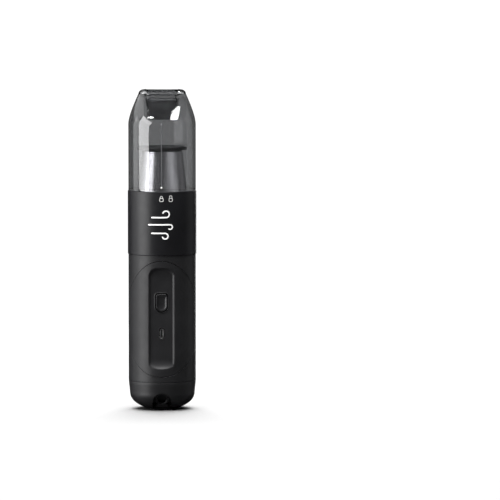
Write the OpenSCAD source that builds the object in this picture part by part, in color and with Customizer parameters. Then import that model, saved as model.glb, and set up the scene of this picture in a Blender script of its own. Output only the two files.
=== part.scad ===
// Cordless handheld vacuum cleaner, standing on its base cap with the inlet mouth up.
// Origin: centre of the flat underside. +Z runs up the tube, -Y is the front with the power button.

/* [Tube] */
// Outside diameter of the handle and of the dust cup
handle_d = 62; // [61.6:0.1:62.4]
// Outside diameter of the motor collar
collar_d = 63.2; // [62.8:0.1:64]
// Wall thickness of the moulded shells
wall = 2.2; // [2:0.1:2.3]
// Overall height
total_h = 294; // [292:0.5:298]
// Height of the seam between the base cap and the handle
base_seam_z = 26.5; // [26:0.1:27]
// Height of the seam between the handle and the motor collar
collar_seam_z = 143; // [142.6:0.1:143.4]
// Height of the seam between the motor collar and the dust cup
cup_seam_z = 201.4; // [201:0.1:202]

/* [Front cover] */
// Highest point of the cover's arched outline
cover_top_z = 138.2; // [137:0.1:138.4]
// Lowest point of the cover's arched outline
cover_bottom_z = 30.9; // [30.7:0.1:32]
// Width of the thumb recess
recess_w = 22.2; // [21:0.1:23]
// Lower end of the thumb recess
recess_z0 = 38.8; // [38:0.1:40]
// Upper end of the thumb recess
recess_z1 = 130.7; // [129:0.1:131]
// Height of the power button's centre
button_z = 99.5; // [98:0.5:101]
// Width of the power button
button_w = 10.4; // [9.6:0.1:10.8]
// Height of the power button
button_h = 16.6; // [16:0.1:17.2]
// How far the power button travels
button_travel = 1.2; // [0.8:0.1:1.2]
// Height of the charging socket's centre
usb_z = 71.3; // [70:0.1:73]

/* [Dust cup] */
// Width of the mouth end, across the front
mouth_w = 43.6; // [42:0.2:45]
// Depth of the mouth end, front to back
mouth_d = 19; // [18:0.2:20]
// How far the mouth lies behind the tube's axis
mouth_y = 8.5; // [8:0.1:9.5]
// Wall thickness of the clear cup
cup_wall = 2.1; // [1.8:0.1:2.2]
// Angle between the locked and the unlocked mark
twist_deg = 15.6; // [14:0.1:16]

/* [Filter] */
// Radius of the metal screen at its foot
screen_r0 = 23.1; // [22.8:0.1:23.2]
// Radius of the metal screen under the cap
screen_r1 = 18.8; // [18.6:0.1:19.2]
// Height of the underside of the filter cap
cap_z = 238.6; // [237:0.1:240]
// Number of pleats in the filter
pleats = 36; // [24:1:40]

/* [Hanging loop] */
// Outside radius of the loop's ring
loop_r = 6.3; // [6:0.1:6.4]
// Radius of the hole in the loop
loop_hole_r = 4.4; // [4:0.1:4.5]

/* [Hidden] */
$fn = 72;

// colours
shell_black = [0.13, 0.13, 0.135];
gloss_black = [0.09, 0.09, 0.1];
smoke_grey = [0.35, 0.36, 0.37, 0.5];
steel = [0.78, 0.77, 0.79];
dark_rubber = [0.07, 0.07, 0.07];
copper = [0.72, 0.42, 0.25];
brass = [0.8, 0.66, 0.35];
board_green = [0.06, 0.25, 0.13];

// radii and gaps shared by neighbouring pieces
handle_r = handle_d / 2;
handle_ri = handle_r - wall;
collar_r = collar_d / 2;
collar_ri = collar_r - wall;
seam_gap = 0.15;      // between pieces that only meet
lip_r = handle_ri - 0.1;
lip_t = 1.6;
lip_h = 4;
edge = 0.4;           // chamfer on the seams
cut = 1;              // overshoot of a cutting shape

// base cap profile: an upper taper, a tight shoulder arc, then a wide arc into the flat underside
base_taper_r = handle_r - 1.1;
shoulder_arc_r = 12;
sole_arc_r = 30;
arc_split = 50;       // degrees of the tight arc
sole_flat = 0.4;      // how much the flat underside cuts off the wide arc
shoulder_c = [
    base_taper_r - shoulder_arc_r,
    sole_arc_r - sole_flat - (sole_arc_r - shoulder_arc_r) * sin(arc_split)
];
sole_c = [
    shoulder_c.x - (sole_arc_r - shoulder_arc_r) * cos(arc_split),
    sole_arc_r - sole_flat
];
floor_t = 2.4;

// hanging loop: the ring leans forward with the shoulder and turns on a pin at its foot
loop_tilt = 22;
loop_c = [0, -22.4, 11.1];
loop_t = 2.2;
loop_reach = 7.6;     // ring centre to pin, along the ring
loop_set_back = 2;    // the pin lies this far behind the ring's middle plane
loop_knuckle_r = 1.9;
loop_pin_r = 1;
loop_run_gap = 0.05;
loop_well_r = 8;
loop_well_drop = 1.5;
loop_well_back = 4.7; // depth of the well behind the ring's middle plane
loop_pin_half = 9;
loop_well_wall = 1.8;

// front cover outline, as half ellipses seen from the front
cover_half_w = 31.6;
cover_arch_top = 44;
cover_arch_bottom = 37;
arch_steps = 20;

// thumb recess
recess_y = -27.4;     // plane of its floor
recess_floor_t = 2;
recess_corner_r = 7;
scoop_r = 14;         // the lower end runs out along this curve
scoop_z = recess_z0 + sqrt(pow(scoop_r, 2) - pow(scoop_r - (handle_r + recess_y), 2));
button_proud = 0.5;
button_corner_r = 2;
button_gap = 0.2;
usb_hole = [4.2, 9.8];

// main board behind the recess
board_y = -19;        // its front face
board_t = 1.6;
board_w = 22;
board_z0 = 54;
board_z1 = 116;
boss_zs = [57, 113];
boss_r = 2.6;

// collar
throat_r = collar_r - 2.6;  // the collar's mouth, which takes the cup's spigot
spigot_r = throat_r - 0.2;
spigot_ri = spigot_r - 2.1;
seat_z = cup_seam_z - 5.4;  // ledge that the filter and the cup's seal stand on
seat_ri = 22.5;
seat_t = 2.5;
seal_t = 0.6;

// bayonet: lugs round the cup's spigot run in channels in the collar's throat
lug_angles = [20, 140, 260];
lug_deg = 10;
lug_z = cup_seam_z - 3.8;
lug_h = 1.6;
lug_reach = 1.4;
lug_gap = 0.2;

// cup nose
cup_ri = handle_r - cup_wall;
nose_z = 262;         // the tube starts to draw in here
nose_pull_z = 270;    // height at which the straight walls would meet the slope
nose_front_pull = 2;  // the slope leaves the tube's front this much earlier
rim_w = 5.5;          // rounding of the mouth's rim, inwards and down
rim_h = 4;
duct_top = [29.4, 13.6];    // opening of the duct at the mouth
duct_end = [23.4, 12];      // and at its lower end
duct_end_z = total_h - 31;
duct_wall = 1.6;
rib_w = 1.4;

// inlet flap: hinged across the duct's front wall, closing its slanted end
flap_tilt = 46;       // slope of the duct's end below the horizontal
flap_pivot = [0, mouth_y - 10.1, total_h - 10.8];
flap_l = 25;
flap_t = 1;
flap_w = 25;
flap_knuckle_r = 1.3;
flap_pin_r = 0.6;
flap_knuckle_w = 23.6;

// filter
filter_foot_z = seat_z + seal_t;
filter_flange_t = 2.4;
filter_flange_r = spigot_ri - 0.3;
screen_t = 0.5;
cap_r = 22.9;
cap_t = 3.3;

// fan and motor
guard_z = seat_z - seat_t - 3.1;
guard_screw_r = 24.8;
fan_z = 176;
fan_r = 22;
can_r = 16;
can_z0 = 130;
can_z1 = 170;
shaft_r = 1.5;
run_gap = 0.05;

// cells
cell_d = 18.4;
cell_h = 65.2;
cell_x = 9.6;
cell_y = 9;
cell_z = 34.2;
link_t = 0.2;

// exhaust slots in the rear shell
slot_zs = [108, 130];
slot_w = 2.2;
slot_count = 9;
slot_pitch = 9;       // degrees

// ---- shared shapes ----

module tube(ro, ri, z0, z1) {
    translate([0, 0, z0])
        difference() {
            cylinder(r = ro, h = z1 - z0);
            translate([0, 0, -cut]) cylinder(r = ri, h = z1 - z0 + 2 * cut);
        }
}

module disc(r, z0, z1) {
    translate([0, 0, z0]) cylinder(r = r, h = z1 - z0);
}

// ring sector between two angles
module arc_bar(ri, ro, z0, z1, a0, a1) {
    rotate([0, 0, a0])
        rotate_extrude(angle = a1 - a0)
            translate([ri, z0]) square([ro - ri, z1 - z0]);
}

// extrudes a front view (x, z) from y0 back to y1
module front_prism(y0, y1) {
    translate([0, y1, 0]) rotate([90, 0, 0]) linear_extrude(height = y1 - y0) children();
}

module box(x0, x1, y0, y1, z0, z1) {
    translate([x0, y0, z0]) cube([x1 - x0, y1 - y0, z1 - z0]);
}

// cylinder along Y
module rod_y(x, z, r, y0, y1) {
    translate([x, y0, z]) rotate([-90, 0, 0]) cylinder(r = r, h = y1 - y0);
}

// cylinder along X
module rod_x(y, z, r, x0, x1) {
    translate([x0, y, z]) rotate([0, 90, 0]) cylinder(r = r, h = x1 - x0);
}

// rounded rectangle made of true arcs, centred on x
module round_rect(w, z0, z1, r) {
    translate([-w / 2 + r, z0]) square([w - 2 * r, z1 - z0]);
    translate([-w / 2, z0 + r]) square([w, z1 - z0 - 2 * r]);
    for (x = [-1, 1], z = [z0 + r, z1 - r])
        translate([x * (w / 2 - r), z]) circle(r = r);
}

// upright slot with half-round ends
module stadium(w, z0, z1) {
    translate([-w / 2, z0 + w / 2]) square([w, z1 - z0 - w]);
    for (z = [z0 + w / 2, z1 - w / 2]) translate([0, z]) circle(r = w / 2);
}

function arc_points(c, r, a0, a1, n) = [
    for (i = [0 : n])
        let (a = a0 + (a1 - a0) * i / n) [c.x + r * cos(a), c.y + r * sin(a)]
];

// smooth route through hand-set points, and the tube swept along it
function between(a, b, c, d, t) =
    0.5 * (2 * b + (c - a) * t + (2 * a - 5 * b + 4 * c - d) * t * t
        + (3 * b - a - 3 * c + d) * t * t * t);
function route(p, n) = [
    for (i = [0 : len(p) - 2]) for (k = [0 : n - 1])
        between(p[max(i - 1, 0)], p[i], p[i + 1], p[min(i + 2, len(p) - 1)], k / n),
    p[len(p) - 1]
];
function heading(p, i) =
    let (v = p[min(i + 1, len(p) - 1)] - p[max(i - 1, 0)]) v / norm(v);
function across(t) = let (v = cross(t, [0.2, 1, 0.1])) v / norm(v);

module lead(points, r, sides = 8) {
    p = route(points, 5);
    n = len(p);
    rings = [
        for (i = [0 : n - 1])
            let (t = heading(p, i), u = across(t), v = cross(t, u))
                for (k = [0 : sides - 1])
                    p[i] + r * (cos(360 * k / sides) * u + sin(360 * k / sides) * v)
    ];
    walls = [
        for (i = [0 : n - 2], k = [0 : sides - 1])
            let (a = i * sides + k, b = i * sides + (k + 1) % sides)
                [a, b, b + sides, a + sides]
    ];
    ends = [
        [for (k = [sides - 1 : -1 : 0]) k],
        [for (k = [0 : sides - 1]) (n - 1) * sides + k]
    ];
    faces = [for (f = concat(walls, ends)) [for (k = [len(f) - 1 : -1 : 0]) f[k]]];
    polyhedron(points = rings, faces = faces);
}

// ---- base cap and hanging loop ----

// half section of the cap; inset 0 is its outside
module base_profile(inset, z_low) {
    sole_r = sole_arc_r - inset;
    sole_end = -90 + acos((sole_c.y - z_low) / sole_r);
    polygon(concat(
        [[0, z_low]],
        arc_points(sole_c, sole_r, sole_end, -arc_split, 8),
        arc_points(shoulder_c, shoulder_arc_r - inset, -arc_split, 0, 8),
        [[handle_r - inset, base_seam_z], [0, base_seam_z]]
    ));
}

module loop_frame() {
    translate(loop_c) rotate([90 + loop_tilt, 0, 0]) children();
}

module loop_well(grow, back) {
    loop_frame()
        translate([0, 0, -back])
            linear_extrude(height = 30) {
                translate([0, -loop_well_drop]) circle(r = loop_well_r + grow);
                translate([-loop_well_r - grow, -loop_well_drop - 30])
                    square([2 * (loop_well_r + grow), 30]);
            }
}

module base_cap() {
    color(shell_black)
        difference() {
            union() {
                difference() {
                    rotate_extrude() base_profile(0, 0);
                    rotate_extrude() base_profile(wall, floor_t);
                    disc(handle_ri, base_seam_z - 0.4, base_seam_z + cut);
                }
                tube(lip_r, lip_r - lip_t, base_seam_z - 3, base_seam_z + lip_h);
                tube(handle_ri + 0.3, lip_r - lip_t, base_seam_z - 3, base_seam_z - 0.5);
                intersection() {
                    loop_well(loop_well_wall, loop_well_back + loop_well_wall);
                    rotate_extrude() base_profile(1, 1);
                }
            }
            loop_well(0, loop_well_back);
            loop_frame() rod_x(-loop_reach, -loop_set_back, loop_pin_r, -loop_pin_half, loop_pin_half);
        }
}

module hanging_loop() {
    color(gloss_black)
        loop_frame()
            difference() {
                union() {
                    translate([0, 0, -loop_t / 2]) cylinder(r = loop_r, h = loop_t);
                    box(-3, 3, -loop_reach, -loop_hole_r - 0.4, -loop_set_back, -loop_t / 2 + 0.9);
                    rod_x(-loop_reach, -loop_set_back, loop_knuckle_r, -5.5, 5.5);
                }
                translate([0, 0, -loop_t]) cylinder(r = loop_hole_r, h = 2 * loop_t);
                rod_x(-loop_reach, -loop_set_back, loop_pin_r + loop_run_gap, -7, 7);
            }
}

module loop_pin() {
    color(steel)
        loop_frame() rod_x(-loop_reach, -loop_set_back, loop_pin_r, -loop_pin_half, loop_pin_half);
}

// ---- handle shells ----

function arch(a, b, z, s) = [
    for (i = [0 : arch_steps])
        let (t = 180 * i / arch_steps) [a * cos(t) * s, z + s * b * (sin(t) - 1)]
];

// outline of the front cover seen from the front, grown by g
module cover_outline(g) {
    polygon(concat(
        arch(cover_half_w + g, cover_arch_top + g, cover_top_z + g, 1),
        arch(cover_half_w + g, cover_arch_bottom + g, cover_bottom_z - g, -1)
    ));
}

module exhaust_slots() {
    for (i = [0 : slot_count - 1])
        rotate([0, 0, (i - (slot_count - 1) / 2) * slot_pitch])
            front_prism(handle_ri - 2, handle_r + 2) stadium(slot_w, slot_zs[0], slot_zs[1]);
}

module rear_shell() {
    color(shell_black)
        difference() {
            rotate_extrude()
                polygon([
                    [handle_ri, base_seam_z + seam_gap],
                    [handle_r - edge, base_seam_z + seam_gap],
                    [handle_r, base_seam_z + seam_gap + edge],
                    [handle_r, collar_seam_z - seam_gap - edge],
                    [handle_r - edge, collar_seam_z - seam_gap],
                    [handle_ri, collar_seam_z - seam_gap]
                ]);
            front_prism(-handle_r - 9, 0) cover_outline(0);
            exhaust_slots();
        }
}

module recess_outline(grow) {
    round_rect(recess_w + 2 * grow, recess_z0 - grow, recess_z1 + grow, recess_corner_r + grow);
}

module recess_cut() {
    intersection() {
        front_prism(-handle_r - 9, recess_y) recess_outline(0);
        union() {
            box(-20, 20, -handle_r - 10, recess_y + cut, scoop_z, recess_z1 + 2);
            rod_x(recess_y - scoop_r, scoop_z, scoop_r, -20, 20);
        }
    }
}

// button outline: flat top with small corners, half-round bottom
module button_outline(grow) {
    w = button_w + 2 * grow;
    top = button_z + button_h / 2 + grow;
    bottom = button_z - button_h / 2 - grow;
    r = button_corner_r + grow;
    translate([0, bottom + w / 2]) circle(r = w / 2);
    translate([-w / 2, bottom + w / 2]) square([w, top - r - bottom - w / 2]);
    translate([-w / 2 + r, top - 2 * r]) square([w - 2 * r, 2 * r]);
    for (x = [-1, 1]) translate([x * (w / 2 - r), top - r]) circle(r = r);
}

module front_cover() {
    tub_back = recess_y + recess_floor_t;
    color(shell_black)
        difference() {
            union() {
                intersection() {
                    tube(handle_r, handle_ri, cover_bottom_z - 2, cover_top_z + 2);
                    front_prism(-handle_r - 9, -seam_gap) cover_outline(-seam_gap);
                }
                intersection() {
                    disc(handle_r - 0.5, recess_z0 - 3, recess_z1 + 3);
                    front_prism(-handle_r, tub_back) recess_outline(1.8);
                }
                // screw bosses for the main board
                for (z = boss_zs) rod_y(0, z, boss_r, tub_back - 0.5, board_y);
                // four snap tongues behind the rear shell's edges
                for (a = [186, 351]) for (z = [68, 90])
                    arc_bar(handle_ri - 1.4, handle_ri + 0.3, z, z + 8, a, a + 3);
            }
            recess_cut();
            front_prism(-handle_r, tub_back + cut) button_outline(button_gap);
            front_prism(-handle_r, tub_back + cut)
                stadium(usb_hole.x, usb_z - usb_hole.y / 2, usb_z + usb_hole.y / 2);
            for (z = boss_zs) rod_y(0, z, 0.95, -24.5, board_y + cut);
        }
}

module power_button() {
    face_y = recess_y - button_proud;
    back_y = recess_y + recess_floor_t + 0.1;
    dish_r = 16;
    color(gloss_black)
        difference() {
            union() {
                front_prism(face_y, back_y + 0.2) button_outline(0);
                front_prism(back_y, back_y + 1.1) button_outline(1.1);
                rod_y(0, button_z, 1.6, back_y, -23.7);
            }
            translate([0, face_y - dish_r + 0.8, button_z - 3]) sphere(r = dish_r);
        }
}

module exhaust_foam() {
    color(dark_rubber)
        arc_bar(handle_ri - 1.6, handle_ri - 0.2, slot_zs[0] - 4, slot_zs[1] + 4, 42, 138);
}

// ---- collar ----

module collar() {
    color(gloss_black)
        difference() {
            rotate_extrude()
                polygon([
                    [lip_r - lip_t, collar_seam_z - lip_h],
                    [lip_r, collar_seam_z - lip_h],
                    [lip_r, collar_seam_z],
                    [collar_r - edge, collar_seam_z],
                    [collar_r, collar_seam_z + edge],
                    [collar_r, cup_seam_z - edge],
                    [collar_r - edge, cup_seam_z],
                    [throat_r, cup_seam_z],
                    [throat_r, seat_z],
                    [seat_ri, seat_z],
                    [seat_ri, seat_z - seat_t],
                    [collar_ri, seat_z - seat_t],
                    [collar_ri, collar_seam_z + 3],
                    [lip_r - lip_t, collar_seam_z + 3]
                ]);
            for (a = lug_angles) {
                arc_bar(spigot_ri, throat_r + lug_reach, lug_z - lug_gap,
                    lug_z + lug_h + lug_gap, a - 1, a + lug_deg + twist_deg + 1);
                arc_bar(spigot_ri, throat_r + lug_reach + 0.1, lug_z,
                    cup_seam_z + cut, a + twist_deg - 0.7, a + lug_deg + twist_deg + 0.7);
            }
            for (i = [0 : 2]) rotate([0, 0, 30 + 120 * i])
                translate([guard_screw_r, 0, seat_z - seat_t - cut]) cylinder(r = 1.25, h = seat_t);
        }
}

module cup_seal() {
    color(dark_rubber)
        tube(spigot_r, spigot_ri + 0.05, seat_z, seat_z + seal_t);
}

// ---- dust cup ----

// value at t on the curve from a to b that is pulled towards the point between them
function bend(a, pull, b, t) = (1 - t) * (1 - t) * a + 2 * t * (1 - t) * pull + t * t * b;

// thin slab across the nose: half width w, from y0 at the front to y1 at the back
module nose_slab(w, y0, y1, z) {
    r = (y1 - y0) / 2;
    x = max(w - r, 0.01);
    for (k = [-1, 1]) translate([k * x, (y0 + y1) / 2, z - 0.1]) cylinder(r = r, h = 0.1, $fn = 56);
}

// outside of the cup for inset 0, its inside for the wall's thickness
module cup_body(inset, z0) {
    steps = 5;
    r = handle_r - inset;
    w = mouth_w / 2 - inset;
    y0 = mouth_y - mouth_d / 2 + inset;
    y1 = mouth_y + mouth_d / 2 - inset;
    z1 = total_h - rim_h - inset;
    hull() {
        translate([0, 0, z0]) cylinder(r = r, h = nose_z - z0, $fn = 72);
        for (i = [1 : steps]) {
            t = i / steps;
            nose_slab(bend(r, r, w, t), bend(-r, -r + nose_front_pull, y0, t), bend(r, r, y1, t),
                bend(nose_z, nose_pull_z, z1, t));
        }
        for (a = [30, 60, 90]) {
            s = rim_w * (1 - cos(a));
            nose_slab(w - s, y0 + s, y1 - s, z1 + rim_h * sin(a));
        }
    }
}

// tapered duct from the mouth down, grown by g
module duct(g) {
    r = 2.5 + g;
    ends = [[duct_top / 2, total_h + cut], [duct_end / 2, duct_end_z - g]];
    hull()
        for (e = ends, x = [-1, 1], y = [-1, 1])
            translate([x * (e[0].x + g - r), mouth_y + y * (e[0].y + g - r), e[1]])
                cylinder(r = r, h = 0.1, $fn = 32);
}

// everything below the flap's plane, moved up by s
module below_flap(s) {
    translate(flap_pivot)
        rotate([-flap_tilt, 0, 0])
            box(-40, 40, -20, 60, s - 60, s);
}

module dust_cup() {
    ear_x = flap_knuckle_w / 2 + 0.3;
    color(smoke_grey)
        difference() {
            union() {
                difference() {
                    cup_body(0, cup_seam_z + seam_gap);
                    cup_body(cup_wall, cup_seam_z - cut);
                }
                difference() {
                    duct(duct_wall);
                    below_flap(flap_t / 2 + 0.15);
                    disc(handle_r, total_h - rim_h, total_h + 3);
                }
                // ears that carry the flap's pin
                for (x = [-ear_x - 1.3, ear_x])
                    box(x, x + 1.3, flap_pivot.y - flap_knuckle_r, mouth_y - duct_end.y / 2,
                        flap_pivot.z - flap_knuckle_r, flap_pivot.z + 3);
                // stiffening rib down the front wall
                box(-rib_w / 2, rib_w / 2, -cup_ri - 0.6, -cup_ri + 0.7, cup_seam_z + 4.8, nose_z + 2);
                tube(cup_ri + 0.4, spigot_ri, cup_seam_z + seam_gap, cup_seam_z + 2);
                tube(spigot_r, spigot_ri, seat_z + seal_t + 0.1, cup_seam_z + 1);
                for (a = lug_angles)
                    arc_bar(spigot_r - 0.4, throat_r + lug_reach - 0.3, lug_z, lug_z + lug_h, a, a + lug_deg);
            }
            duct(0);
            rod_x(flap_pivot.y, flap_pivot.z, flap_pin_r, -20, 20);
        }
}

module flap_pin() {
    half = flap_knuckle_w / 2 + 1.6;
    color(steel) rod_x(flap_pivot.y, flap_pivot.z, flap_pin_r, -half, half);
}

module inlet_flap() {
    color(dark_rubber)
        translate(flap_pivot)
            rotate([-flap_tilt, 0, 0])
                difference() {
                    union() {
                        rod_x(0, 0, flap_knuckle_r, -flap_knuckle_w / 2, flap_knuckle_w / 2);
                        box(-flap_knuckle_w / 2, flap_knuckle_w / 2, 0, 4, -flap_t / 2, flap_t / 2);
                        box(-flap_w / 2, flap_w / 2, 2.6, flap_l, -flap_t / 2, flap_t / 2);
                    }
                    rod_x(0, 0, flap_pin_r + run_gap, -20, 20);
                }
}

// ---- filter ----

module filter_frame() {
    top = filter_foot_z + filter_flange_t;
    color(shell_black) {
        difference() {
            union() {
                disc(filter_flange_r, filter_foot_z, top);
                disc(screen_r0 - screen_t - 0.4, top - 0.1, top + 1.5);
            }
            disc(12, filter_foot_z - cut, top + 3);
        }
        for (a = [45 : 90 : 315]) rotate([0, 0, a])
            box(8.6, 10.4, -0.9, 0.9, top - 0.2, cap_z);
        for (a = [45 : 90 : 315]) rotate([0, 0, a])
            box(8.6, 13, -0.9, 0.9, top - 1.4, top + 0.2);
    }
}

module filter_screen() {
    z0 = filter_foot_z + filter_flange_t;
    color(steel)
        rotate_extrude()
            polygon([
                [screen_r0 - screen_t, z0], [screen_r0, z0],
                [screen_r1, cap_z], [screen_r1 - screen_t, cap_z]
            ]);
}

module filter_cap() {
    color(shell_black)
        rotate_extrude()
            polygon([
                [0, cap_z], [screen_r1 - screen_t - 0.9, cap_z],
                [screen_r1 - screen_t - 0.9, cap_z - 1.2], [screen_r1 - screen_t - 0.2, cap_z - 1.2],
                [screen_r1 - screen_t - 0.2, cap_z], [cap_r - edge, cap_z], [cap_r, cap_z + edge],
                [cap_r, cap_z + cap_t - 0.8], [cap_r - 0.8, cap_z + cap_t], [0, cap_z + cap_t]
            ]);
}

module hepa_element() {
    z0 = filter_foot_z + filter_flange_t + 1.6;
    outer = screen_r1 - screen_t - 1.2;
    inner = outer - 4.6;
    color([0.92, 0.92, 0.88])
        translate([0, 0, z0])
            linear_extrude(height = cap_z - 1.3 - z0)
                difference() {
                    polygon([
                        for (i = [0 : 2 * pleats - 1])
                            let (r = i % 2 == 0 ? outer : inner, a = 180 * i / pleats)
                                r * [cos(a), sin(a)]
                    ]);
                    circle(r = inner - 1);
                }
}

module filter_seal() {
    color(dark_rubber) tube(filter_flange_r - 0.2, seat_ri + 0.4, seat_z, filter_foot_z);
}

// ---- fan ----

module inlet_guard() {
    z1 = guard_z + 3;
    color(shell_black)
        difference() {
            union() {
                tube(collar_ri - 0.2, 11, guard_z, z1);
                tube(5.5, 4, guard_z, z1);
                for (a = [0 : 45 : 315]) rotate([0, 0, a]) box(4.5, 11.5, -0.7, 0.7, guard_z, z1);
            }
            for (i = [0 : 2]) rotate([0, 0, 30 + 120 * i])
                translate([guard_screw_r, 0, guard_z - cut]) cylinder(r = 1.35, h = 5);
        }
}

module screw(r, length, head_r, head_h) {
    cylinder(r = r, h = length);
    difference() {
        translate([0, 0, -head_h]) cylinder(r = head_r, h = head_h);
        for (a = [0, 90]) rotate([0, 0, a])
            translate([0, 0, -head_h]) cube([1.4 * head_r, 0.5, 0.9], center = true);
    }
}

module guard_screws() {
    color(steel)
        for (i = [0 : 2]) rotate([0, 0, 30 + 120 * i])
            translate([guard_screw_r, 0, guard_z]) screw(1.2, 4.4, 2.1, 1.4);
}

module fan_housing() {
    z0 = fan_z - 4;
    color(shell_black)
        difference() {
            union() {
                tube(collar_ri - 0.4, collar_ri - 1.9, z0 - 5, guard_z - 0.1);
                disc(collar_ri - 1.5, z0, z0 + 2);
                for (i = [0 : 11]) rotate([0, 0, 30 * i + 8])
                    box(18, collar_ri - 1.5, -0.6, 0.6, z0 - 5, z0 + 0.5);
            }
            disc(5.4, z0 - cut, z0 + 3);
            for (i = [0 : 11]) rotate([0, 0, 30 * i + 23])
                translate([23.5, 0, z0 - cut]) cylinder(r = 2.6, h = 5);
        }
}

// one backward-curved blade in plan
module blade_plan() {
    n = 8;
    function side(i, thick) =
        let (t = i / n, r = 4.5 + t * (fan_r - 4.7), a = -58 * t + thick / r) r * [cos(a), sin(a)];
    polygon(concat([for (i = [0 : n]) side(i, 0)], [for (i = [n : -1 : 0]) side(i, 60)]));
}

module impeller() {
    color([0.2, 0.2, 0.21])
        difference() {
            union() {
                disc(fan_r, fan_z, fan_z + 1.4);
                disc(4.8, fan_z, fan_z + 9);
                tube(fan_r, 10.5, fan_z + 9.4, fan_z + 10.6);
                for (i = [0 : 8]) rotate([0, 0, 40 * i])
                    translate([0, 0, fan_z + 1.2])
                        linear_extrude(height = 8.4)
                            intersection() {
                                blade_plan();
                                circle(r = fan_r - 0.3);
                            }
            }
            disc(shaft_r, fan_z - cut, fan_z + 12);
        }
}

// ---- motor ----

module motor_can() {
    t = 1.2;
    color(steel)
        rotate_extrude()
            polygon([
                [can_r - t, can_z0], [can_r, can_z0], [can_r, can_z1 - 1], [can_r - 1, can_z1],
                [5, can_z1], [5, can_z1 + 1.8], [4, can_z1 + 1.8], [4, can_z1 - t], [can_r - t, can_z1 - t]
            ]);
}

module motor_magnets() {
    color([0.25, 0.25, 0.26])
        for (a = [0, 180]) arc_bar(12.4, can_r - 1.25, 138, 164, a - 58, a + 58);
}

module motor_end_cap() {
    color([0.85, 0.85, 0.82])
        difference() {
            union() {
                disc(can_r - 0.2, can_z0 - 3, can_z0 - 0.05);
                disc(5.5, can_z0 - 5.5, can_z0 - 2.5);
                tube(can_r - 1.3, can_r - 2.6, can_z0 - 0.5, can_z0 + 4);
            }
            disc(3.5, can_z0 - 7, can_z0 + 1);
            for (x = [-1, 1]) box(x * 9 - 1.6, x * 9 + 1.6, -0.5, 0.5, can_z0 - 5, can_z0 + 1);
        }
}

module front_bushing() {
    color(brass) tube(3.95, shaft_r + run_gap, can_z1 - 1.2, can_z1 + 1.8);
}

module rear_bushing() {
    color(brass) tube(3.45, shaft_r + run_gap, can_z0 - 5.5, can_z0 - 2);
}

module motor_shaft() {
    color(steel) disc(shaft_r, can_z0 - 7, fan_z + 10.4);
}

module armature_core() {
    poles = 5;
    color([0.4, 0.4, 0.42])
        difference() {
            disc(11.8, 142, 160);
            disc(shaft_r, 141, 161);
            for (i = [0 : poles - 1]) rotate([0, 0, 360 * i / poles]) {
                translate([7.6, 0, 141]) cylinder(r = 2.4, h = 20);
                box(7.6, 13, -0.8, 0.8, 141, 161);
            }
        }
}

module armature_windings() {
    color(copper)
        for (z = [137.2, 160.1])
            rotate_extrude()
                polygon([
                    [2, z], [8, z], [10.4, z + 1.4], [10.4, z + 3.4], [8, z + 4.7], [2, z + 4.7]
                ]);
}

module commutator() {
    color(copper)
        difference() {
            disc(4, can_z0 + 1.5, can_z0 + 6.5);
            disc(shaft_r, can_z0, can_z0 + 8);
            for (i = [0 : 4]) rotate([0, 0, 72 * i + 36])
                box(3.2, 5, -0.2, 0.2, can_z0 + 1, can_z0 + 7);
        }
}

module carbon_brushes() {
    color([0.16, 0.16, 0.17])
        for (x = [-1, 1]) scale([x, 1, 1]) box(4.15, 9.5, -1.2, 1.2, can_z0 + 2.5, can_z0 + 5);
}

module motor_terminals() {
    color(brass)
        for (x = [-1, 1]) box(x * 9 - 1.5, x * 9 + 1.5, -0.4, 0.4, can_z0 - 7.5, can_z0 + 2.5);
}

module motor_mount() {
    color(dark_rubber)
        difference() {
            tube(collar_ri - 0.1, can_r + 0.05, 152, 156);
            for (i = [0 : 9]) rotate([0, 0, 36 * i]) translate([22.6, 0, 151]) cylinder(r = 3.2, h = 6);
        }
}

// ---- cells and electronics ----

module battery_cell(x) {
    color([0.15, 0.35, 0.6])
        translate([x, cell_y, cell_z]) {
            cylinder(r = cell_d / 2, h = cell_h - 1);
            translate([0, 0, cell_h - 1.1]) cylinder(r = 3.2, h = 1.1);
        }
}

module cell_links() {
    color([0.82, 0.82, 0.8]) {
        top = cell_z + cell_h;
        box(-cell_x - 3.5, cell_x + 3.5, cell_y - 3, cell_y + 3, cell_z - link_t, cell_z);
        for (x = [-cell_x, cell_x]) box(x - 3, x + 3, cell_y - 3, cell_y + 3, top, top + link_t);
    }
}

module battery_tray() {
    z0 = cell_z - link_t - 2;
    z1 = cell_z + cell_h + link_t;
    y1 = cell_y + cell_d / 2 + 0.3;
    color([0.3, 0.3, 0.31]) {
        intersection() {
            union() {
                disc(handle_ri - 0.1, z0, z0 + 2);
                disc(handle_ri - 0.1, z1, z1 + 2);
            }
            box(-30, 30, cell_y - 8, 30, z0 - cut, z1 + 3);
        }
        box(-13, 13, y1, y1 + 1.4, z0 + 1, z1 + 1);
    }
}

module main_board() {
    color(board_green)
        difference() {
            box(-board_w / 2, board_w / 2, board_y + 0.05, board_y + board_t, board_z0, board_z1);
            for (z = boss_zs) rod_y(0, z, 1.3, board_y - 1, board_y + 3);
        }
}

module board_chips() {
    y = board_y + board_t;
    color([0.12, 0.12, 0.13]) {
        box(-3, 3, y, y + 1.2, 78, 84);
        box(-8.5, -3.5, y, y + 1.6, 88, 94);
        box(3, 9, y, y + 3, 88, 94);
        rod_y(-6.8, 107.5, 2.5, y, y + 5);
        box(5, 8, y, y + 1, 66, 70);
    }
}

module board_screws() {
    color(steel)
        for (z = boss_zs)
            translate([0, board_y + board_t, z]) rotate([90, 0, 0]) screw(0.9, 5.4, 1.9, 1.3);
}

module tact_switch() {
    color([0.2, 0.2, 0.2]) {
        box(-3, 3, board_y - 3, board_y, button_z - 3, button_z + 3);
        rod_y(0, button_z, 1.7, board_y - 3.4, board_y - 2.9);
    }
}

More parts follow.
